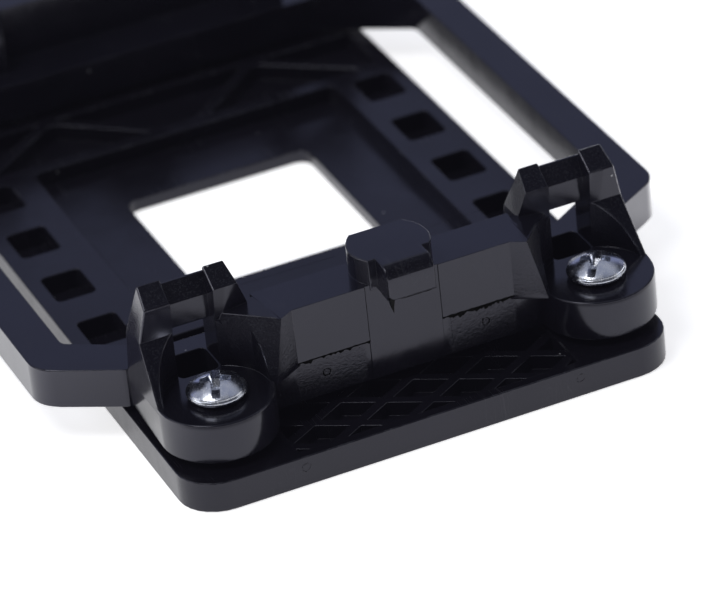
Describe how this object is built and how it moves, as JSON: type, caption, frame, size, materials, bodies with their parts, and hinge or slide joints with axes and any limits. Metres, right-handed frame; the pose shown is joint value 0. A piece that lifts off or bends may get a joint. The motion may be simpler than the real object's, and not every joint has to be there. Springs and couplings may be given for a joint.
{
  "type": "processor cooler retention bracket",
  "caption": "Moulded clip-on frame for a desktop processor cooler, screwed through corner lugs into inserts in a flat backplate.",
  "frame": {"origin": "centre of the four-hole screw pattern, on the backplate's underside", "axes": "+X along the 48 mm side of the screw pattern, +Y along the 96 mm side, +Z from the backplate up towards the cooler"},
  "size_m": [0.0802, 0.1128, 0.022],
  "materials": {
    "frame_plastic": "semi-gloss black moulded plastic with fine scuffs",
    "backplate_plastic": "satin black moulded plastic",
    "screw_zinc": "bright zinc plate",
    "insert_brass": "turned brass"
  },
  "bodies": {
    "frame": {"retention_frame": "frame_plastic"},
    "backplate": {"backplate": "backplate_plastic", "insert_near_left": "insert_brass", "insert_near_right": "insert_brass", "insert_far_left": "insert_brass", "insert_far_right": "insert_brass"},
    "screw_near_left": {"screw_near_left": "screw_zinc"},
    "screw_near_right": {"screw_near_right": "screw_zinc"},
    "screw_far_left": {"screw_far_left": "screw_zinc"},
    "screw_far_right": {"screw_far_right": "screw_zinc"}
  },
  "joints": [
    {"name": "backplate_release", "type": "slide", "parent": "frame", "child": "backplate", "axis": [0, 0, -1], "range_m": [0, 0.00357]},
    {"name": "screw_turn_near_left", "type": "hinge", "parent": "frame", "child": "screw_near_left", "pos_m": [-0.024, -0.048, 0], "axis": [0, 0, 1], "range_deg": [0, 1620.01]},
    {"name": "screw_turn_near_right", "type": "hinge", "parent": "frame", "child": "screw_near_right", "pos_m": [0.024, -0.048, 0], "axis": [0, 0, 1], "range_deg": [0, 1620.01]},
    {"name": "screw_turn_far_left", "type": "hinge", "parent": "frame", "child": "screw_far_left", "pos_m": [-0.024, 0.048, 0], "axis": [0, 0, 1], "range_deg": [0, 1620.01]},
    {"name": "screw_turn_far_right", "type": "hinge", "parent": "frame", "child": "screw_far_right", "pos_m": [0.024, 0.048, 0], "axis": [0, 0, 1], "range_deg": [0, 1620.01]}
  ],
  "couplings": [
    {"joint": "screw_turn_near_left", "follows": "backplate_release", "rad_per_m": 7915.8},
    {"joint": "screw_turn_near_right", "follows": "backplate_release", "rad_per_m": 7915.8},
    {"joint": "screw_turn_far_left", "follows": "backplate_release", "rad_per_m": 7915.8},
    {"joint": "screw_turn_far_right", "follows": "backplate_release", "rad_per_m": 7915.8}
  ]
}
